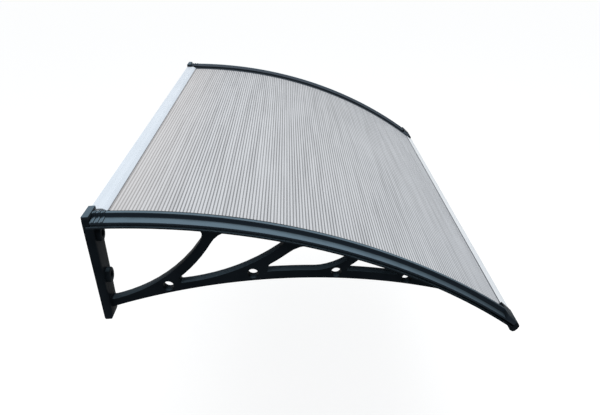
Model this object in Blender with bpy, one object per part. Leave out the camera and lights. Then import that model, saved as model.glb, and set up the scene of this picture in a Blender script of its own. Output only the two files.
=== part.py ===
# door canopy: twin-wall sheet on two moulded brackets, with cover strips and two rails
# metres, Z up, the wall is the plane Y = 0 and the canopy stands out along -Y
# origin: on the wall plane, midway between the brackets, level with the arm crest
import math

import bmesh
import bpy
from mathutils import Matrix, Vector

for old in list(bpy.data.objects):
    bpy.data.objects.remove(old, do_unlink=True)

# driving dimensions
gap = 0.0003
overall_width = 1.200
reach = 0.800
crest_radius = 1.280
arm_width = 0.048
bracket_spacing = overall_width - arm_width

# arm section, depths measured down from the ridge crest along the arc normal
ledge_depth = 0.0090
cover_bottom = 0.0122
sheet_top = 0.0125
sheet_thickness = 0.0045
sheet_bottom = sheet_top + sheet_thickness
plate_top = sheet_bottom + gap
plate_thickness = 0.0030
plate_bottom = plate_top + plate_thickness
rib_half = 0.0040
sheet_edge_clearance = 0.0010
ridge_top_half = 0.0034
ridge_half = 0.0048

# lengthwise places, measured out from the wall at crest level
flange_depth = 0.0120
cover_start = flange_depth + gap
nose_depth = 0.0085
nose_length = 0.0096
nose_start = reach * crest_radius / (crest_radius - nose_depth) - nose_length
facet_length = 0.0220
facet_drop = 0.0031
ridge_end = nose_start - facet_length
cover_end = nose_start - gap
sheet_end_clearance = 0.0010
sheet_end = nose_start - sheet_end_clearance
arm_end = nose_start + 0.0035

# rails, the rear one lies against the wall
rail_wall = 0.0018
rear_deck = 0.0055
rear_fold = 0.0215
rear_reach = 0.0295
rear_slot = 0.0180
rear_drop = 0.0300
sheet_start = rear_slot + sheet_end_clearance
front_lip = 0.0075
front_wall = 0.0016
front_overhang = 0.0180
front_round = 0.0040

# upright
upright_half = 0.0225
upright_depth = 0.0150
upright_bottom = -0.2170
foot_half = 0.0185
foot_round = 0.0130
toe_depth = 0.0095
toe_height = 0.0120
toe_slope = 0.0015
upright_wall = 0.0035
flange_half = 0.0225
flange_top = 0.0022
flange_height = 0.0080
boss_heights = (-0.041, -0.126)
boss_radius = 0.0140
boss_front = 0.0224
core_margin = 0.0030
wall_hole_radius = 0.0033
wall_sink_radius = 0.0070
wall_sink_depth = 0.0050

# scroll work under the arm
truss_half = 0.0095
truss_root = 0.0100
truss_web = 0.0170
last_opening_end = 0.0100
chord_radius = 1.120
chord_peak = (0.312, -0.150)
bead = 0.0012
hole_radius = 0.0100
# distance from the wall and rise above the lower edge of the bar
holes = ((0.119, 0.0143), (0.273, 0.0147), (0.427, 0.0124))
last_hole_back = 0.0963
last_hole_rise = 0.0115

# sheet
cell_count = 133
skin = 0.0007
web = 0.0006

# ribs on the cover strip beside the wall
wrap_count = 3
wrap_first = 0.0170
wrap_pitch = 0.0075
wrap_width = 0.0032
wrap_height = 0.0011

# screws that clamp the cover strip from below
screw_radius = 0.0020
screw_clearance = 0.0003
screw_tip = 0.0060
screw_head_radius = 0.0042
screw_head_height = 0.0026
pilot_end = 0.0045


def make_material(name, colour, rough, metal=0.0):
    mat = bpy.data.materials.new(name)
    mat.use_nodes = True
    shader = mat.node_tree.nodes["Principled BSDF"]
    shader.inputs["Base Color"].default_value = (colour[0], colour[1], colour[2], 1.0)
    shader.inputs["Roughness"].default_value = rough
    shader.inputs["Metallic"].default_value = metal
    return mat


plastic = make_material("bracket_plastic", (0.022, 0.025, 0.029), 0.45)
strip_plastic = make_material("strip_plastic", (0.024, 0.028, 0.033), 0.38)
sheet_plastic = make_material("sheet_polycarbonate", (0.50, 0.53, 0.55), 0.25)
rail_metal = make_material("rail_aluminium", (0.83, 0.86, 0.90), 0.35, 0.6)
screw_steel = make_material("screw_steel", (0.42, 0.43, 0.45), 0.30, 1.0)


def angle_at(out):
    return math.asin(out / crest_radius)


def arc_point(theta, depth):
    r = crest_radius - depth
    return (-r * math.sin(theta), r * math.cos(theta) - crest_radius)


def height_at(out, depth):
    r = crest_radius - depth
    return math.sqrt(r * r - out * out) - crest_radius


def circle_height(centre, radius, out, side):
    # side is +1 for the upper half of the circle and -1 for the lower half
    return centre[1] + side * math.sqrt(radius * radius - (out - centre[0]) ** 2)


def finish_mesh(bm, name, mat, smooth_angle=32.0):
    bmesh.ops.remove_doubles(bm, verts=bm.verts, dist=0.00002)
    bmesh.ops.recalc_face_normals(bm, faces=bm.faces)
    limit = math.radians(smooth_angle)
    for face in bm.faces:
        face.smooth = True
    for edge in bm.edges:
        edge.smooth = edge.is_manifold and edge.calc_face_angle(0.0) < limit
    mesh = bpy.data.meshes.new(name)
    bm.to_mesh(mesh)
    bm.free()
    mesh.materials.append(mat)
    obj = bpy.data.objects.new(name, mesh)
    bpy.context.scene.collection.objects.link(obj)
    return obj


def sweep(bm, stations, centre_x):
    # stations: closed loops of (x, y, z), all with the same number of points
    rings = []
    for loop in stations:
        rings.append([bm.verts.new((centre_x + p[0], p[1], p[2])) for p in loop])
    count = len(rings[0])
    for a, b in zip(rings[:-1], rings[1:]):
        for i in range(count):
            j = (i + 1) % count
            bm.faces.new((a[i], a[j], b[j], b[i]))
    bm.faces.new(list(reversed(rings[0])))
    bm.faces.new(rings[-1])


def arc_stations(section, start, end, steps):
    first = angle_at(start)
    last = angle_at(end)
    loops = []
    for k in range(steps + 1):
        theta = first + (last - first) * k / steps
        loops.append([(x, *arc_point(theta, depth)) for x, depth in section])
    return loops


def prism(bm, outline, x0, x1):
    # outline: list of (out from the wall, height)
    near = [bm.verts.new((x0, -t, z)) for t, z in outline]
    far = [bm.verts.new((x1, -t, z)) for t, z in outline]
    count = len(outline)
    for i in range(count):
        j = (i + 1) % count
        bm.faces.new((near[i], near[j], far[j], far[i]))
    bm.faces.new(list(reversed(near)))
    bm.faces.new(far)


def solid_from(builder, name, mat):
    bm = bmesh.new()
    builder(bm)
    return finish_mesh(bm, name, mat)


def combine(target, tools, operation):
    # exact Boolean, the tools are spent
    for tool in tools:
        mod = target.modifiers.new("join", "BOOLEAN")
        mod.operation = operation
        mod.solver = "EXACT"
        mod.object = tool
        deps = bpy.context.evaluated_depsgraph_get()
        result = bpy.data.meshes.new_from_object(target.evaluated_get(deps))
        target.modifiers.clear()
        old = target.data
        target.data = result
        bpy.data.meshes.remove(old)
        bpy.data.objects.remove(tool, do_unlink=True)


def arc_run(centre, radius, t0, t1, side, count):
    # points along a circle between two distances from the wall
    pts = []
    for k in range(count + 1):
        t = t0 + (t1 - t0) * k / count
        pts.append((t, circle_height(centre, radius, t, side)))
    return pts


def arm_run(t0, t1, depth, count):
    pts = []
    for k in range(count + 1):
        t = t0 + (t1 - t0) * k / count
        pts.append((t, height_at(t, depth)))
    return pts


def point_at(span, distance):
    # the point a given way along a run of points
    for a, b in zip(span[:-1], span[1:]):
        step = (b - a).length
        if distance <= step:
            return a.lerp(b, distance / step)
        distance -= step
    return span[-1].copy()


def trimmed(span, first, last):
    # a run of points between two corners, both ends cut back to make room for the curves
    lengths = [(b - a).length for a, b in zip(span[:-1], span[1:])]
    total = sum(lengths)
    cut = min(first, 0.45 * total)
    stop = total - min(last, 0.45 * total)
    kept = [point_at(span, cut)]
    at = 0.0
    for point, step in zip(span[1:], lengths):
        at += step
        if cut + 0.0008 < at < stop - 0.0008:
            kept.append(point)
    kept.append(point_at(span, stop))
    return kept


def rounded(loop, radii, limit=24.0):
    # replace each sharp corner of a closed outline by a short curve, one size for each corner
    pts = [Vector(p) for p in loop]
    count = len(pts)
    corners = []
    for i in range(count):
        turn = (pts[i] - pts[i - 1]).angle(pts[(i + 1) % count] - pts[i])
        if math.degrees(turn) >= limit:
            corners.append(i)
    spans = []
    for n, start in enumerate(corners):
        stop = corners[(n + 1) % len(corners)]
        span = [pts[start]]
        i = start
        while i != stop:
            i = (i + 1) % count
            span.append(pts[i])
        first = radii[min(n, len(radii) - 1)]
        last = radii[min((n + 1) % len(corners), len(radii) - 1)]
        spans.append(trimmed(span, first, last))
    out = []
    for n, span in enumerate(spans):
        before = spans[n - 1][-1]
        corner = pts[corners[n]]
        for k in range(5):
            s = k / 5.0
            out.append(tuple(before * (1 - s) ** 2 + corner * 2 * s * (1 - s) + span[0] * s * s))
        out += [tuple(p) for p in span[:-1]]
    return out


def meet(centre, radius, side, t0, t1, depth):
    # distance from the wall where a bar edge meets the arm underside
    low, high = t0, t1
    def above(t):
        return circle_height(centre, radius, t, side) - height_at(t, depth)
    sign = above(low) > 0
    for _ in range(50):
        mid = 0.5 * (low + high)
        if (above(mid) > 0) == sign:
            low = mid
        else:
            high = mid
    return 0.5 * (low + high)


# centre lines of the scrolls, each bar edge is a circle
chord_centre = (chord_peak[0], chord_peak[1] - chord_radius)
first_scroll = (-0.0356, 0.0896)
first_inner = 0.2690
first_outer = 0.2865
second_scroll = (0.1200, 0.2110)
second_inner = 0.3590
second_outer = 0.3775
third_scroll = (0.3850, -0.0200)
third_inner = 0.1160
third_outer = 0.1300
chord_top_radius = chord_radius + truss_web
under = plate_bottom + bead


def opening_outlines():
    # first opening: upright, first scroll, arm
    a = meet(first_scroll, first_inner, -1, 0.10, 0.23, under)
    first = arc_run(first_scroll, first_inner, upright_depth, a, -1, 11)
    first += arm_run(a, upright_depth, under, 6)[1:]
    # second opening: outer edge of the first scroll, arm, second scroll
    left = 0.1395
    b = meet(first_scroll, first_outer, -1, 0.15, 0.245, under)
    c = meet(second_scroll, second_inner, -1, 0.20, 0.42, under)
    second = arc_run(second_scroll, second_inner, left + 0.002, c, -1, 10)
    second += arm_run(c, b, under, 5)[1:]
    second += arc_run(first_scroll, first_outer, b, left, -1, 7)[1:]
    # third opening: outer edge of the second scroll, arm, third scroll, lower bar
    left = 0.2975
    d = meet(second_scroll, second_outer, -1, 0.30, 0.42, under)
    e = meet(third_scroll, third_inner, -1, 0.39, 0.50, under)
    third = arc_run(chord_centre, chord_top_radius, left, 0.388, 1, 4)
    third += arc_run(third_scroll, third_inner, 0.398, e, -1, 5)
    third += arm_run(e, d, under, 4)[1:]
    third += arc_run(second_scroll, second_outer, d, left + 0.006, -1, 5)[1:]
    # fourth opening: outer edge of the third scroll, arm, lower bar
    left = 0.4450
    right = meet(chord_centre, chord_top_radius, 1, 0.47, 0.64, under + last_opening_end)
    f = meet(third_scroll, third_outer, -1, 0.42, 0.515, under)
    fourth = arc_run(chord_centre, chord_top_radius, left, right, 1, 5)
    fourth += arm_run(right, f, under, 4)[1:]
    fourth += arc_run(third_scroll, third_outer, f, left + 0.004, -1, 3)[1:]
    # with the fillets at the corners, in the order of the points
    outlines = [(first, (0.008, 0.032, 0.008)), (second, (0.004, 0.024, 0.034, 0.004)),
                (third, (0.004, 0.013, 0.036, 0.004)), (fourth, (0.003, 0.003, 0.003, 0.012, 0.003))]
    # the free runs of the arm above the openings, between the fillets
    runs = [(upright_depth + 0.008, a - 0.032), (b + 0.034, c - 0.024)]
    runs += [(d + 0.036, e - 0.013), (f + 0.012, right)]
    return outlines, runs


openings, free_runs = opening_outlines()
# where the lower edge of the scroll work runs into the arm
truss_merge = meet(chord_centre, chord_radius, 1, 0.45, 0.76, plate_bottom - bead)
# each clamp screw sits in the middle of a free run of the arm
screw_places = [(low + high) / 2 for low, high in free_runs + [(truss_merge, nose_start)]]


def truss_outline():
    low = arc_run(chord_centre, chord_radius, truss_root, truss_merge, 1, 30)
    high = arm_run(truss_merge, truss_root, plate_bottom - bead, 12)[1:]
    return low + high


def cylinder(name, origin, axis, length, radius, sides):
    bm = bmesh.new()
    bmesh.ops.create_cone(bm, cap_ends=True, segments=sides, radius1=radius,
                          radius2=radius, depth=length)
    turn = Vector((0, 0, 1)).rotation_difference(Vector(axis)).to_matrix().to_4x4()
    place = Matrix.Translation(Vector(origin) + Vector(axis).normalized() * length / 2)
    bmesh.ops.transform(bm, matrix=place @ turn, verts=bm.verts)
    return finish_mesh(bm, name, plastic)


def make_box(name, x0, x1, t0, t1, z0, z1):
    def build(bm):
        prism(bm, [(t0, z0), (t1, z0), (t1, z1), (t0, z1)], x0, x1)
    return solid_from(build, name, plastic)


def screw_axis(place):
    theta = angle_at(place)
    return Vector((0, -math.sin(theta), math.cos(theta)))


def arc_place(place, depth, centre_x):
    y, z = arc_point(angle_at(place), depth)
    return Vector((centre_x, y, z))


def soften(obj, width, segments):
    mod = obj.modifiers.new("edges", "BEVEL")
    mod.width = width
    mod.segments = segments
    mod.limit_method = "ANGLE"
    mod.angle_limit = math.radians(55)
    mod.use_clamp_overlap = True
    deps = bpy.context.evaluated_depsgraph_get()
    result = bpy.data.meshes.new_from_object(obj.evaluated_get(deps))
    obj.modifiers.clear()
    old = obj.data
    obj.data = result
    bpy.data.meshes.remove(old)


def build_bracket(name, centre_x):
    # arm: plate under the sheet and the middle rib between the two rebates
    half = arm_width / 2
    section = [(-half, plate_bottom), (-half, plate_top), (-rib_half, plate_top),
               (-rib_half, cover_bottom + gap), (rib_half, cover_bottom + gap),
               (rib_half, plate_top), (half, plate_top), (half, plate_bottom)]

    def arm(bm):
        sweep(bm, arc_stations(section, 0.0050, arm_end, 40), centre_x)
    body = solid_from(arm, name, plastic)

    def truss(bm):
        prism(bm, truss_outline(), centre_x - truss_half, centre_x + truss_half)
    scroll = solid_from(truss, "scroll", plastic)
    cuts = []
    for outline, radii in openings:
        shape = rounded(outline, radii)

        def cut(bm, shape=shape):
            prism(bm, shape, centre_x - 0.03, centre_x + 0.03)
        cuts.append(solid_from(cut, "cut", plastic))
    for t, rise in holes + ((truss_merge - last_hole_back, last_hole_rise),):
        start = (centre_x - 0.03, -t, circle_height(chord_centre, chord_radius, t, 1) + rise)
        cuts.append(cylinder("eye", start, (1, 0, 0), 0.06, hole_radius, 22))
    combine(scroll, cuts, "DIFFERENCE")
    soften(scroll, 0.0016, 2)

    # upright with its rounded foot, cored from the wall side
    seat = -plate_top - 0.0012
    behind = flange_depth - 0.0010
    toe_start = upright_depth - toe_slope - toe_depth
    foot = [(0, -0.004), (0, upright_bottom), (toe_start, upright_bottom)]
    for k in range(1, 7):
        a = math.radians(90 * k / 6)
        foot.append((toe_start + toe_depth * math.sin(a), upright_bottom + toe_height * (1 - math.cos(a))))
    foot += [(upright_depth, upright_bottom + 2 * toe_height), (upright_depth, seat)]
    foot += [(behind, seat), (behind, -0.004)]

    def post(bm):
        prism(bm, foot, centre_x - upright_half, centre_x + upright_half)
    upright = solid_from(post, "upright", plastic)
    tongue = [(-upright_half, 0.01), (-upright_half, seat), (-foot_half, upright_bottom + foot_round)]
    for k in range(1, 6):
        a = math.radians(90 * k / 5)
        tongue.append((-foot_half + foot_round * (1 - math.cos(a)),
                       upright_bottom + foot_round * (1 - math.sin(a))))
    tongue += [(-x, z) for x, z in reversed(tongue)]

    def face_on(bm):
        near = [bm.verts.new((centre_x + x, 0.05, z)) for x, z in tongue]
        far = [bm.verts.new((centre_x + x, -0.05, z)) for x, z in tongue]
        for i in range(len(tongue)):
            j = (i + 1) % len(tongue)
            bm.faces.new((near[i], near[j], far[j], far[i]))
        bm.faces.new(list(reversed(near)))
        bm.faces.new(far)
    combine(upright, [solid_from(face_on, "tongue", plastic)], "INTERSECT")
    soften(upright, 0.0018, 2)
    cap = make_box("cap", centre_x - flange_half, centre_x + flange_half, 0, flange_depth,
                   flange_top - flange_height, flange_top)
    soften(cap, 0.0012, 2)
    pads = []
    for z in boss_heights:
        pad = cylinder("pad", (centre_x, -0.006, z), (0, -1, 0), boss_front - 0.006, boss_radius, 24)
        soften(pad, 0.0015, 2)
        pads.append(pad)
    # nose that closes the front: flat facet above, lip hanging below the arm
    run = [(0.0, facet_drop), (0.0034, facet_drop + 0.0005), (0.0080, 0.0062), (nose_length, nose_depth),
           (0.0104, 0.0150), (0.0094, 0.0225), (0.0060, 0.0262), (0.0010, 0.0262),
           (-0.0014, 0.0240), (-0.0024, plate_bottom - 0.0003),
           (-0.0024, plate_top + 0.0010), (0.0, plate_top + 0.0005)]
    nose = []
    for ahead, depth in run:
        y, z = arc_point(angle_at(nose_start + ahead), depth)
        nose.append((-y, z))

    def stop(bm):
        prism(bm, nose, centre_x - half, centre_x + half)
    front = solid_from(stop, "stop", plastic)
    soften(front, 0.0014, 2)
    combine(body, [scroll, upright, cap] + pads + [front], "UNION")

    tools = []
    inner = foot_half - upright_wall
    around = boss_radius + core_margin
    cored = [(boss_heights[0] - around, boss_heights[1] + around),
             (boss_heights[1] - around, upright_bottom + foot_round)]
    for top, low in cored:
        tools.append(make_box("core", centre_x - inner, centre_x + inner, -0.01,
                              upright_depth - upright_wall, low, top))
    for z in boss_heights:
        tools.append(cylinder("bore", (centre_x, 0.01, z), (0, -1, 0), 0.05, wall_hole_radius, 20))
        front_of = (centre_x, -boss_front + wall_sink_depth, z)
        tools.append(cylinder("sink", front_of, (0, -1, 0), 0.02, wall_sink_radius, 24))
    for place in screw_places:
        tools.append(cylinder("bore", arc_place(place, 0.030, centre_x), screw_axis(place), 0.022,
                              screw_radius + screw_clearance, 14))
    combine(body, tools, "DIFFERENCE")
    bm = bmesh.new()
    bm.from_mesh(body.data)
    bpy.data.objects.remove(body, do_unlink=True)
    return finish_mesh(bm, name, plastic, 34.0)


def cover_section():
    # upper face from the left edge over the ridge to the right edge
    half = arm_width / 2
    right = [(half, cover_bottom), (half, ledge_depth + 0.0010), (half - 0.0010, ledge_depth)]
    right.append((half - 0.008, ledge_depth - 0.0006))
    fillet = 0.0044
    centre = (ridge_half + fillet, ledge_depth - 0.0008 - fillet)
    for k in range(5):
        a = math.radians(90 * k / 4)
        right.append((centre[0] - fillet * math.sin(a), centre[1] + fillet * math.cos(a)))
    right.append((ridge_top_half + 0.0007, 0.0006))
    right.append((ridge_top_half, 0.0))
    left = [(-x, d) for x, d in reversed(right)]
    return right + left


def build_cover(name, centre_x):
    section = cover_section()
    places = []
    first = angle_at(cover_start)
    last = angle_at(ridge_end)
    steps = 30
    marks = []
    for k in range(wrap_count):
        middle = wrap_first + k * wrap_pitch
        marks += [(middle - wrap_width / 2 - 0.0008, 0.0), (middle - wrap_width / 2, wrap_height),
                  (middle + wrap_width / 2, wrap_height), (middle + wrap_width / 2 + 0.0008, 0.0)]
    end_of_wraps = angle_at(marks[-1][0])
    for k in range(steps + 1):
        theta = first + (last - first) * k / steps
        if theta > end_of_wraps + 0.004 or k == 0:
            places.append((theta, 0.0))
    places += [(angle_at(t), lift) for t, lift in marks]
    places.sort()
    loops = []
    for theta, lift in places:
        loop = []
        for x, depth in section:
            upper = depth < cover_bottom - 0.0001
            spread = lift * 0.5 if upper else 0.0
            px = x + math.copysign(spread, x) if abs(x) < ridge_half + 0.001 and upper else x
            loop.append((px, *arc_point(theta, depth - lift if upper else depth)))
        loops.append(loop)
    for out in (ridge_end + 0.0008, cover_end):
        theta = angle_at(out)
        facet = facet_drop * (out - ridge_end) / facet_length
        loop = []
        for x, depth in section:
            lid = facet + 0.0006 * (abs(x) > arm_width / 2 - 0.0005)
            loop.append((x, *arc_point(theta, lid if depth < cover_bottom - 0.0001 else depth)))
        loops.append(loop)
    bm = bmesh.new()
    sweep(bm, loops, centre_x)
    strip = finish_mesh(bm, name, strip_plastic)
    tools = []
    for place in screw_places:
        start = arc_place(place, 0.022, centre_x)
        tools.append(cylinder("bore", start, screw_axis(place), 0.022 - pilot_end,
                              screw_radius + screw_clearance, 14))
    combine(strip, tools, "DIFFERENCE")
    bm = bmesh.new()
    bm.from_mesh(strip.data)
    bpy.data.objects.remove(strip, do_unlink=True)
    return finish_mesh(bm, name, strip_plastic)


def build_sheet():
    # one cross-section cell after another, walls thickened inward, flutes open at both ends
    x0 = -bracket_spacing / 2 + rib_half + sheet_edge_clearance
    x1 = -x0
    first = angle_at(sheet_start)
    last = angle_at(sheet_end)
    middle_radius = crest_radius - sheet_top - sheet_thickness / 2
    half_web = web / 2 / middle_radius
    depths = (sheet_top, sheet_top + skin, sheet_bottom - skin, sheet_bottom)
    bm = bmesh.new()
    columns = []
    for i in range(cell_count + 1):
        theta = first + (last - first) * i / cell_count
        for shift in (-half_web, half_web):
            if i == 0 and shift < 0:
                at = first
            elif i == 0:
                at = first + 2 * half_web
            elif i == cell_count and shift > 0:
                at = last
            elif i == cell_count:
                at = last - 2 * half_web
            else:
                at = theta + shift
            ends = []
            for x in (x0, x1):
                ends.append([bm.verts.new((x, *arc_point(at, d))) for d in depths])
            columns.append(ends)
    for k in range(len(columns) - 1):
        a, b = columns[k], columns[k + 1]
        solid = k % 2 == 0
        bm.faces.new((a[0][0], a[1][0], b[1][0], b[0][0]))
        bm.faces.new((a[0][3], b[0][3], b[1][3], a[1][3]))
        for e in (0, 1):
            rows = (0, 1, 2) if solid else (0, 2)
            for r in rows:
                face = (a[e][r], b[e][r], b[e][r + 1], a[e][r + 1])
                bm.faces.new(face if e == 0 else tuple(reversed(face)))
        if not solid:
            bm.faces.new((a[0][1], b[0][1], b[1][1], a[1][1]))
            bm.faces.new((a[0][2], a[1][2], b[1][2], b[0][2]))
            bm.faces.new((a[0][1], a[1][1], a[1][2], a[0][2]))
            bm.faces.new((b[0][1], b[0][2], b[1][2], b[1][1]))
    for ends, flip in ((columns[0], False), (columns[-1], True)):
        for r in (0, 1, 2):
            face = (ends[0][r], ends[0][r + 1], ends[1][r + 1], ends[1][r])
            bm.faces.new(tuple(reversed(face)) if flip else face)
    return finish_mesh(bm, "roof_sheet", sheet_plastic, 20.0)


rail_start = -bracket_spacing / 2 + arm_width / 2 + gap
rail_end = -rail_start


def build_rear_rail():
    # flat deck at the wall, a slope down to the sheet, a slot for the sheet and a flange on the wall
    slot_top = height_at(rear_slot, sheet_top) + 0.0005
    slot_low = height_at(rear_reach, sheet_bottom) - 0.0005
    edge = slot_top + rail_wall
    outline = [(gap, -rear_deck), (rear_fold, -rear_deck),
               (rear_reach - 0.0006, edge), (rear_reach, edge - 0.0006),
               (rear_reach, slot_top), (rear_slot, slot_top), (rear_slot, slot_low),
               (rear_reach - 0.0010, slot_low), (rear_reach - 0.0010, slot_low - rail_wall),
               (rear_slot - rail_wall, slot_low - rail_wall), (rear_slot - rail_wall, -rear_deck - rail_wall),
               (gap + rail_wall, -rear_deck - rail_wall), (gap + rail_wall, -rear_drop), (gap, -rear_drop)]
    bm = bmesh.new()
    prism(bm, outline, rail_start, rail_end)
    return finish_mesh(bm, "rear_rail", rail_metal)


def build_front_rail():
    # the same arc frame as the arm: lip over the sheet, slot, rounded front
    lip = nose_start - front_lip
    slot_back = nose_start - sheet_end_clearance / 2
    front = nose_start + front_overhang
    turn = front - front_round
    top = sheet_top - 0.0002
    low = sheet_bottom + 0.0002
    pts = [(lip, top), (lip, top - front_wall + 0.0004), (lip + 0.0020, top - front_wall),
           (turn, top - front_wall)]
    for k in range(1, 5):
        a = math.radians(90 * k / 5)
        pts.append((turn + front_round * math.sin(a), top - front_wall + 0.0055 * (1 - math.cos(a))))
    pts += [(front, low + 0.0002), (front - 0.0012, low + front_wall), (lip + 0.002, low + front_wall),
            (lip + 0.002, low), (slot_back, low), (slot_back, top)]
    outline = []
    for t, depth in pts:
        y, z = arc_point(angle_at(t), depth)
        outline.append((-y, z))
    bm = bmesh.new()
    prism(bm, outline, rail_start, rail_end)
    return finish_mesh(bm, "front_rail", rail_metal)


def build_screw(name, place, centre_x):
    # pan head under the arm, shank up into the ridge
    head_top = (under if place < truss_merge else plate_bottom) + gap
    ring = 14
    radii = [(0.0, head_top + screw_head_height), (screw_head_radius * 0.55, head_top + screw_head_height),
             (screw_head_radius * 0.9, head_top + screw_head_height * 0.72),
             (screw_head_radius, head_top + screw_head_height * 0.35),
             (screw_head_radius, head_top), (screw_radius, head_top),
             (screw_radius, screw_tip + 0.002), (screw_radius * 0.35, screw_tip), (0.0, screw_tip)]
    axis = screw_axis(place)
    side = Vector((1, 0, 0))
    other = axis.cross(side)
    bm = bmesh.new()
    loops = []
    for r, depth in radii:
        base = arc_place(place, depth, centre_x)
        if r == 0:
            loops.append([bm.verts.new(base)])
            continue
        loop = []
        for k in range(ring):
            a = 2 * math.pi * k / ring
            loop.append(bm.verts.new(base + side * r * math.cos(a) + other * r * math.sin(a)))
        loops.append(loop)
    for a, b in zip(loops[:-1], loops[1:]):
        for k in range(ring):
            j = (k + 1) % ring
            if len(a) == 1:
                bm.faces.new((a[0], b[k], b[j]))
            elif len(b) == 1:
                bm.faces.new((a[k], a[j], b[0]))
            else:
                bm.faces.new((a[k], a[j], b[j], b[k]))
    screw = finish_mesh(bm, name, screw_steel)
    slot_at = arc_place(place, head_top + screw_head_height + 0.001, centre_x)
    for along, across in ((side, other), (other, side)):
        bm = bmesh.new()
        bmesh.ops.create_cube(bm, size=1.0)
        frame = Matrix((along, across, axis)).transposed().to_4x4()
        size = Matrix.Diagonal((screw_head_radius * 1.1, 0.0009, 0.0042, 1.0))
        bmesh.ops.transform(bm, matrix=Matrix.Translation(slot_at) @ frame @ size, verts=bm.verts)
        combine(screw, [finish_mesh(bm, "slot", screw_steel)], "DIFFERENCE")
    bm = bmesh.new()
    bm.from_mesh(screw.data)
    bpy.data.objects.remove(screw, do_unlink=True)
    return finish_mesh(bm, name, screw_steel)


for label, sign in (("left", -1), ("right", 1)):
    middle = sign * bracket_spacing / 2
    build_bracket(label + "_bracket", middle)
    build_cover(label + "_cover_strip", middle)
    for number, place in enumerate(screw_places, 1):
        build_screw(label + "_screw_" + str(number), place, middle)
build_sheet()
build_rear_rail()
build_front_rail()
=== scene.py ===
# door canopy, visual model and photo view
import math

import bmesh
import bpy
from mathutils import Matrix, Vector


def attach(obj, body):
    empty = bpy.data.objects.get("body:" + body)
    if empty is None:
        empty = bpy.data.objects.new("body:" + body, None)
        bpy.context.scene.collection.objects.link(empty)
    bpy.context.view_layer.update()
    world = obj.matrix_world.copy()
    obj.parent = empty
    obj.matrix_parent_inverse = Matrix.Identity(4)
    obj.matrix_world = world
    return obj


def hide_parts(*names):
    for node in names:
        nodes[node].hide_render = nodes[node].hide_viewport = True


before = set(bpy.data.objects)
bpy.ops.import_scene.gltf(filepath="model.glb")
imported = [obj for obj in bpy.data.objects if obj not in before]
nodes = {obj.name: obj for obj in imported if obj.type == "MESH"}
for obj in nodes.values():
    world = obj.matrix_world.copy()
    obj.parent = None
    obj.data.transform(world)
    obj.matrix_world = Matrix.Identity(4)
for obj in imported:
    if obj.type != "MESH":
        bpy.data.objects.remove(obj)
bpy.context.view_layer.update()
scene = bpy.context.scene
scene.view_settings.view_transform = "Standard"
print("frame loaded,", len(nodes), "nodes")

# camera
camValues = {
    "place": (-1.4952, -0.3639, 0.4459),
    "yaw": -0.12439,       # turned from +X towards -Y
    "pitch": 0.46123,      # looking down
    "roll": 0.0105,
    "lens": 34.35,
    "shift": -0.106,
}


def makeCamera(v):
    data = bpy.data.cameras.new("photoCam")
    data.sensor_width = 36.0
    data.lens = v["lens"]
    data.shift_x = v["shift"]
    data.clip_start = 0.01
    cam = bpy.data.objects.new("photoCam", data)
    scene.collection.objects.link(cam)
    cp = math.cos(v["pitch"])
    ahead = Vector((cp * math.cos(v["yaw"]), cp * math.sin(v["yaw"]), -math.sin(v["pitch"])))
    right = Vector((math.sin(v["yaw"]), -math.cos(v["yaw"]), 0.0))
    up = right.cross(ahead)
    side = math.cos(v["roll"]) * right + math.sin(v["roll"]) * up
    top = -math.sin(v["roll"]) * right + math.cos(v["roll"]) * up
    turn = Matrix((side, top, -ahead)).transposed()
    cam.matrix_world = Matrix.Translation(v["place"]) @ turn.to_4x4()
    scene.camera = cam


makeCamera(camValues)


# node helpers for the materials
def newMat(name):
    mat = bpy.data.materials.new(name)
    mat.use_nodes = True
    tree = mat.node_tree
    return mat, tree, tree.nodes["Principled BSDF"]


def mathNode(tree, operation, a, b=None, clamp=False):
    n = tree.nodes.new("ShaderNodeMath")
    n.operation = operation
    n.use_clamp = clamp
    for i, value in enumerate((a, b)):
        if value is None:
            continue
        if isinstance(value, (int, float)):
            n.inputs[i].default_value = value
        else:
            tree.links.new(value, n.inputs[i])
    return n.outputs[0]


def noise(tree, vector, scale, detail=3.0, rough=0.5):
    n = tree.nodes.new("ShaderNodeTexNoise")
    n.inputs["Scale"].default_value = scale
    n.inputs["Detail"].default_value = detail
    n.inputs["Roughness"].default_value = rough
    tree.links.new(vector, n.inputs["Vector"])
    return n.outputs["Fac"]


def ramp(tree, fac, stops):
    n = tree.nodes.new("ShaderNodeValToRGB")
    el = n.color_ramp.elements
    while len(el) < len(stops):
        el.new(0.5)
    for e, (at, col) in zip(el, stops):
        e.position = at
        e.color = (*col, 1.0) if len(col) == 3 else col
    tree.links.new(fac, n.inputs["Fac"])
    return n.outputs["Color"]


def mapRange(tree, value, lo, hi, toLo, toHi):
    n = tree.nodes.new("ShaderNodeMapRange")
    for key, val in (("From Min", lo), ("From Max", hi), ("To Min", toLo), ("To Max", toHi)):
        n.inputs[key].default_value = val
    tree.links.new(value, n.inputs["Value"])
    return n.outputs["Result"]


def mixColor(tree, fac, a, b, mode="MIX"):
    n = tree.nodes.new("ShaderNodeMix")
    n.data_type = "RGBA"
    n.blend_type = mode
    for slot, value in ((0, fac), (6, a), (7, b)):
        if hasattr(value, "is_output"):
            tree.links.new(value, n.inputs[slot])
        elif slot == 0:
            n.inputs[0].default_value = value
        else:
            n.inputs[slot].default_value = (*value, 1.0)
    return n.outputs[2]


def objectCoords(tree):
    return tree.nodes.new("ShaderNodeTexCoord").outputs["Object"]


def stretched(tree, vector, scale):
    n = tree.nodes.new("ShaderNodeMapping")
    n.inputs["Scale"].default_value = scale
    tree.links.new(vector, n.inputs["Vector"])
    return n.outputs["Vector"]


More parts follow.
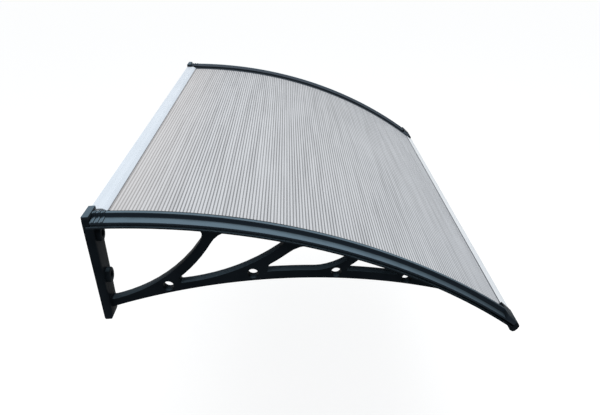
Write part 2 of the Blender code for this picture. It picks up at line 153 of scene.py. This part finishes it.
def bump(tree, shader, height, strength, distance):
    n = tree.nodes.new("ShaderNodeBump")
    n.inputs["Strength"].default_value = strength
    n.inputs["Distance"].default_value = distance
    tree.links.new(height, n.inputs["Height"])
    tree.links.new(n.outputs["Normal"], shader.inputs["Normal"])


# black moulded plastic: fine grain, faint flow marks, worn edges, painted sheen where it looks up
plasticValues = {
    "dark": (0.0040, 0.0055, 0.0075),
    "light": (0.0085, 0.0115, 0.0150),
    # painted sheen: the pale blue-grey mixed in where faces look up
    "paintedSheen": (0.115, 0.165, 0.205),
    "worn": (0.035, 0.045, 0.056),
    "rough": (0.30, 0.44),
    "specular": 0.006,
    "grain": 1400.0,
    "radius": 1.280,
    "below": 0.55,
    # painted highlight on the crest of the ridge
    "crest": 1.8,
    # painted sheen growing towards the outer edge of the strip's ledge
    "edge": 1.50,
    # painted light on the two sides of the strip's ridge
    "innerSidePaintedSheen": (0.095, 0.115, 0.140),
    "outerSidePaintedLight": (0.013, 0.019, 0.027),
}


def plasticMat(name, v, lift=1.0, ridgeAt=None):
    mat, tree, shader = newMat(name)
    co = objectCoords(tree)
    cloud = noise(tree, co, 9.0, 4.0)
    flow = noise(tree, stretched(tree, co, (30.0, 6.0, 6.0)), 3.0, 3.0)
    both = mathNode(tree, "MULTIPLY", mathNode(tree, "ADD", cloud, flow), 0.5)
    dark = tuple(c * lift for c in v["dark"])
    light = tuple(c * lift for c in v["light"])
    base = ramp(tree, both, [(0.35, dark), (0.65, light)])
    geo = tree.nodes.new("ShaderNodeNewGeometry")
    split = tree.nodes.new("ShaderNodeSeparateXYZ")
    tree.links.new(geo.outputs["Normal"], split.inputs[0])
    patch = mapRange(tree, noise(tree, co, 35.0, 4.0), 0.25, 0.75, 0.75, 1.0)
    level = mapRange(tree, split.outputs["Z"], 0.74, 0.985, 0.03, 1.0)
    paintedSheenMask = mathNode(tree, "MULTIPLY", level, patch)
    # the bars under the arm are shaded by the roof and stay darker
    place = tree.nodes.new("ShaderNodeSeparateXYZ")
    tree.links.new(co, place.inputs[0])
    rise = mathNode(tree, "ADD", place.outputs["Z"], v["radius"])
    outSquare = mathNode(tree, "POWER", place.outputs["Y"], 2.0)
    riseSquare = mathNode(tree, "POWER", rise, 2.0)
    fromCentre = mathNode(tree, "SQRT", mathNode(tree, "ADD", outSquare, riseSquare))
    under = mapRange(tree, fromCentre, v["radius"] - 0.026, v["radius"] - 0.016, v["below"], 1.0)
    paintedSheenMask = mathNode(tree, "MULTIPLY", paintedSheenMask, under)
    # painted highlight: the crest of the ridge gets the palest painted sheen
    crest = mapRange(tree, fromCentre, v["radius"] - 0.004, v["radius"] - 0.001, 1.0, v["crest"])
    paintedSheenMask = mathNode(tree, "MULTIPLY", paintedSheenMask, crest)
    if ridgeAt:
        # strips: painted shade keeps the ledge inside the ridge dark, and painted sheen pales the one
        # outside it towards its edge
        acrossAt = mathNode(tree, "ABSOLUTE", place.outputs["X"])
        innerLedgeShade = mapRange(tree, acrossAt, ridgeAt - 0.0062, ridgeAt - 0.0048, 0.0, 1.0)
        paintedSheenMask = mathNode(tree, "MULTIPLY", paintedSheenMask, innerLedgeShade)
        outerLedgeSheen = mapRange(tree, acrossAt, ridgeAt + 0.006, ridgeAt + 0.021, 0.80, v["edge"])
        onLedge = mapRange(tree, acrossAt, ridgeAt + 0.0045, ridgeAt + 0.0055, 0.0, 1.0)
        change = mathNode(tree, "MULTIPLY", mathNode(tree, "SUBTRACT", outerLedgeSheen, 1.0), onLedge)
        paintedSheenMask = mathNode(tree, "MULTIPLY", paintedSheenMask, mathNode(tree, "ADD", change, 1.0))
        # the two sides of the ridge: painted light by which way each faces, a pale painted sheen on the
        # inboard side and a little painted light on the outboard side
        way = mathNode(tree, "MULTIPLY", mathNode(tree, "SIGN", place.outputs["X"]), split.outputs["X"])
        base = mixColor(tree, mapRange(tree, way, -0.9, -0.6, 1.0, 0.0), base, v["innerSidePaintedSheen"])
        base = mixColor(tree, mapRange(tree, way, 0.6, 0.9, 0.0, 1.0), base, v["outerSidePaintedLight"])
    # painted sheen: faces that look up are mixed towards a pale blue-grey
    base = mixColor(tree, paintedSheenMask, base, v["paintedSheen"])
    # edges rub pale
    worn = mapRange(tree, geo.outputs["Pointiness"], 0.53, 0.62, 0.0, 0.5)
    tree.links.new(mixColor(tree, worn, base, v["worn"]), shader.inputs["Base Color"])
    grain = noise(tree, co, v["grain"], 2.0)
    smear = noise(tree, co, 22.0, 3.0)
    tree.links.new(mapRange(tree, smear, 0.3, 0.7, *v["rough"]), shader.inputs["Roughness"])
    shader.inputs["Specular IOR Level"].default_value = v["specular"]
    bump(tree, shader, grain, 0.12, 0.0006)
    return mat


# twin-wall polycarbonate: stripes follow the flutes along the arc
sheetValues = {
    "radius": 1.280,
    "start": 0.0190,
    "end": 0.794748,
    "cells": 133,
    "bright": (0.580, 0.590, 0.612),
    "brightNearWall": (0.590, 0.578, 0.580),
    "dim": (0.170, 0.173, 0.182),
    "dimNearWall": (0.360, 0.346, 0.345),
    "bluer": (1.09, 1.105, 1.12),
    "rough": 0.48,
    "specular": 0.12,
}


def sheetMat(name, v):
    mat, tree, shader = newMat(name)
    co = objectCoords(tree)
    split = tree.nodes.new("ShaderNodeSeparateXYZ")
    tree.links.new(co, split.inputs[0])
    out = mathNode(tree, "MULTIPLY", split.outputs["Y"], -1.0)
    rise = mathNode(tree, "ADD", split.outputs["Z"], v["radius"])
    theta = mathNode(tree, "ARCTAN2", out, rise)
    first = math.asin(v["start"] / v["radius"])
    last = math.asin(v["end"] / v["radius"])
    along = mathNode(tree, "SUBTRACT", theta, first)
    cell = mathNode(tree, "MULTIPLY", along, v["cells"] / (last - first))
    inCell = mathNode(tree, "FRACT", cell)
    number = mathNode(tree, "FLOOR", cell)
    # dark at the webs, bright over the open flute
    fromMiddle = mathNode(tree, "ABSOLUTE", mathNode(tree, "SUBTRACT", inCell, 0.5))
    stripe = mapRange(tree, fromMiddle, 0.20, 0.46, 1.0, 0.0)
    # each flute and each stretch of it has its own tone
    join = tree.nodes.new("ShaderNodeCombineXYZ")
    tree.links.new(mathNode(tree, "MULTIPLY", split.outputs["X"], 2.2), join.inputs[0])
    tree.links.new(mathNode(tree, "MULTIPLY", number, 7.31), join.inputs[1])
    streak = noise(tree, join.outputs[0], 1.0, 2.0)
    fine = noise(tree, stretched(tree, co, (5.0, 260.0, 260.0)), 1.0, 2.0)
    tone = mathNode(tree, "ADD", mapRange(tree, streak, 0.25, 0.75, -0.22, 0.22), stripe)
    tone = mathNode(tree, "ADD", mapRange(tree, fine, 0.3, 0.7, -0.10, 0.10), tone, True)
    # warmer and paler beside the wall, where light gathers under the rail
    nearWall = mapRange(tree, cell, 0.0, 22.0, 1.0, 0.0)
    bright = mixColor(tree, nearWall, v["bright"], v["brightNearWall"])
    dim = mixColor(tree, nearWall, v["dim"], v["dimNearWall"])
    stripes = mixColor(tree, tone, dim, bright)
    # a little paler and bluer towards the front edge
    nearFront = mapRange(tree, cell, v["cells"] * 0.55, v["cells"], 0.0, 1.0)
    lifted = mixColor(tree, 1.0, stripes, v["bluer"], "MULTIPLY")
    tree.links.new(mixColor(tree, nearFront, stripes, lifted), shader.inputs["Base Color"])
    cloud = noise(tree, co, 14.0, 3.0)
    rough = mapRange(tree, cloud, 0.3, 0.7, v["rough"] - 0.05, v["rough"] + 0.08)
    tree.links.new(rough, shader.inputs["Roughness"])
    shader.inputs["Specular IOR Level"].default_value = v["specular"]
    bump(tree, shader, stripe, 0.25, 0.0005)
    return mat


# white lacquered extrusion: faint draw marks along its length, painted shadow line where it meets the
# sheet
railValues = {
    "pale": (0.66, 0.72, 0.79),
    "shade": (0.60, 0.66, 0.73),
    # painted shadow line where the rail meets the sheet
    "paintedGapShadow": (0.060, 0.065, 0.075),
    "metal": 0.05,
    "rough": (0.34, 0.46),
    "specular": 0.3,
}


def railMat(name, v, shadowLineAt, shadowLineWidth):
    mat, tree, shader = newMat(name)
    co = objectCoords(tree)
    brush = noise(tree, stretched(tree, co, (2.0, 160.0, 160.0)), 1.0, 2.0)
    cloud = noise(tree, co, 7.0, 3.0)
    both = mathNode(tree, "MULTIPLY", mathNode(tree, "ADD", brush, cloud), 0.5)
    base = ramp(tree, both, [(0.35, v["shade"]), (0.6, v["pale"])])
    split = tree.nodes.new("ShaderNodeSeparateXYZ")
    tree.links.new(co, split.inputs[0])
    # painted shadow: a dark line along the gap under the rail's lip
    away = mathNode(tree, "ABSOLUTE", mathNode(tree, "ADD", split.outputs["Y"], shadowLineAt))
    paintedGapShadow = mapRange(tree, away, shadowLineWidth * 0.5, shadowLineWidth, 1.0, 0.0)
    tree.links.new(mixColor(tree, paintedGapShadow, base, v["paintedGapShadow"]), shader.inputs["Base Color"])
    shader.inputs["Metallic"].default_value = v["metal"]
    shader.inputs["Specular IOR Level"].default_value = v["specular"]
    tree.links.new(mapRange(tree, brush, 0.3, 0.7, *v["rough"]), shader.inputs["Roughness"])
    bump(tree, shader, brush, 0.05, 0.0003)
    return mat


# zinc plated screws: fine grain and dull spots
screwValues = {"pale": (0.50, 0.51, 0.53), "dull": (0.26, 0.26, 0.27), "rough": (0.22, 0.45)}


def screwMat(name, v):
    mat, tree, shader = newMat(name)
    co = objectCoords(tree)
    spots = noise(tree, co, 420.0, 4.0)
    tone = ramp(tree, spots, [(0.35, v["dull"]), (0.6, v["pale"])])
    tree.links.new(tone, shader.inputs["Base Color"])
    shader.inputs["Metallic"].default_value = 1.0
    tree.links.new(mapRange(tree, spots, 0.3, 0.7, *v["rough"]), shader.inputs["Roughness"])
    bump(tree, shader, noise(tree, co, 1500.0, 2.0), 0.1, 0.0002)
    return mat


bracketLook = plasticMat("bracketLook", plasticValues)
stripLook = plasticMat("stripLook", plasticValues, 1.1, 0.576)
sheetLook = sheetMat("sheetLook", sheetValues)
# the rear rail's painted shadow line is lighter
rearValues = dict(railValues, paintedGapShadow=(0.24, 0.25, 0.27))
rearLook = railMat("rearRailLook", rearValues, 0.0295, 0.0009)
frontValues = dict(railValues, pale=(0.80, 0.83, 0.86), shade=(0.72, 0.76, 0.80))
frontLook = railMat("frontRailLook", frontValues, 0.7815, 0.0016)
screwLook = screwMat("screwLook", screwValues)
print("materials made")


def smoothCopy(node, name, look, angle):
    # welded copy of a CAD solid, round faces shaded smooth and hard edges kept
    bm = bmesh.new()
    bm.from_mesh(nodes[node].data)
    bmesh.ops.remove_doubles(bm, verts=bm.verts, dist=0.00001)
    bmesh.ops.dissolve_limit(bm, angle_limit=math.radians(0.3), verts=bm.verts, edges=bm.edges)
    bmesh.ops.recalc_face_normals(bm, faces=bm.faces)
    limit = math.radians(angle)
    for face in bm.faces:
        face.smooth = True
    for edge in bm.edges:
        edge.smooth = edge.is_manifold and edge.calc_face_angle(0.0) < limit
    mesh = bpy.data.meshes.new(name)
    bm.to_mesh(mesh)
    bm.free()
    mesh.materials.append(look)
    piece = bpy.data.objects.new(name, mesh)
    scene.collection.objects.link(piece)
    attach(piece, "root")
    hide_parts(node)
    return piece


for side in ("left", "right"):
    smoothCopy(side + "_bracket", side + "Bracket", bracketLook, 35)
    smoothCopy(side + "_cover_strip", side + "CoverStrip", stripLook, 35)
    for number in "12345":
        smoothCopy(side + "_screw_" + number, side + "Screw" + number, screwLook, 35)
smoothCopy("roof_sheet", "roofSheet", sheetLook, 20)
smoothCopy("rear_rail", "rearRail", rearLook, 30)
smoothCopy("front_rail", "frontRail", frontLook, 30)
print("pieces made")

# floor, pale, and the plain backdrop colour for what the camera sees
stageValues = {"floorZ": -0.9, "size": 14.0, "albedo": 0.55, "seen": 0.80}


def whiteOrLit(tree, own, seen):
    # the camera and mirror rays get the pale backdrop, everything else the lit surface
    path = tree.nodes.new("ShaderNodeLightPath")
    any1 = mathNode(tree, "MAXIMUM", path.outputs["Is Camera Ray"], path.outputs["Is Glossy Ray"])
    any2 = mathNode(tree, "MAXIMUM", any1, path.outputs["Is Transmission Ray"])
    mix = tree.nodes.new("ShaderNodeMixShader")
    tree.links.new(any2, mix.inputs[0])
    tree.links.new(own, mix.inputs[1])
    tree.links.new(seen, mix.inputs[2])
    return mix.outputs[0]


def makeFloor(v):
    bm = bmesh.new()
    bmesh.ops.create_grid(bm, x_segments=1, y_segments=1, size=v["size"])
    bmesh.ops.translate(bm, verts=bm.verts, vec=(0, 0, v["floorZ"]))
    mesh = bpy.data.meshes.new("floor")
    bm.to_mesh(mesh)
    bm.free()
    floor = bpy.data.objects.new("floor", mesh)
    scene.collection.objects.link(floor)
    mat = bpy.data.materials.new("floorLook")
    mat.use_nodes = True
    tree = mat.node_tree
    tree.nodes.remove(tree.nodes["Principled BSDF"])
    plain = tree.nodes.new("ShaderNodeBsdfDiffuse")
    plain.inputs["Color"].default_value = (v["albedo"],) * 3 + (1.0,)
    pale = tree.nodes.new("ShaderNodeBsdfDiffuse")
    pale.inputs["Color"].default_value = (0.35, 0.35, 0.35, 1.0)
    glow = tree.nodes.new("ShaderNodeEmission")
    glow.inputs["Strength"].default_value = v["seen"]
    both = tree.nodes.new("ShaderNodeAddShader")
    tree.links.new(pale.outputs[0], both.inputs[0])
    tree.links.new(glow.outputs[0], both.inputs[1])
    out = tree.nodes["Material Output"]
    tree.links.new(whiteOrLit(tree, plain.outputs[0], both.outputs[0]), out.inputs["Surface"])
    mesh.materials.append(mat)


makeFloor(stageValues)

# world: soft even fill, white where the camera looks past the floor
worldValues = {"fill": 0.55, "tint": (0.93, 0.97, 1.0)}


def makeWorld(v):
    world = bpy.data.worlds.new("studio")
    scene.world = world
    world.use_nodes = True
    tree = world.node_tree
    fill = tree.nodes["Background"]
    fill.inputs["Color"].default_value = (*v["tint"], 1.0)
    fill.inputs["Strength"].default_value = v["fill"]
    white = tree.nodes.new("ShaderNodeBackground")
    white.inputs["Color"].default_value = (1.0, 1.0, 1.0, 1.0)
    white.inputs["Strength"].default_value = 1.0
    out = tree.nodes["World Output"]
    tree.links.new(whiteOrLit(tree, fill.outputs[0], white.outputs[0]), out.inputs["Surface"])


makeWorld(worldValues)

# lamps: place, aim, size, power
lampValues = [
    ("overhead", (-0.3, -0.5, 2.2), (0.0, -0.4, -0.1), 2.2, 42.0),
]


def makeLamp(name, place, aim, size, power):
    data = bpy.data.lights.new(name, "AREA")
    data.size = size
    data.energy = power
    lamp = bpy.data.objects.new(name, data)
    scene.collection.objects.link(lamp)
    way = Vector(aim) - Vector(place)
    lamp.rotation_euler = way.to_track_quat("-Z", "Y").to_euler()
    lamp.location = place


for lamp in lampValues:
    makeLamp(*lamp)
print("stage and lights made")
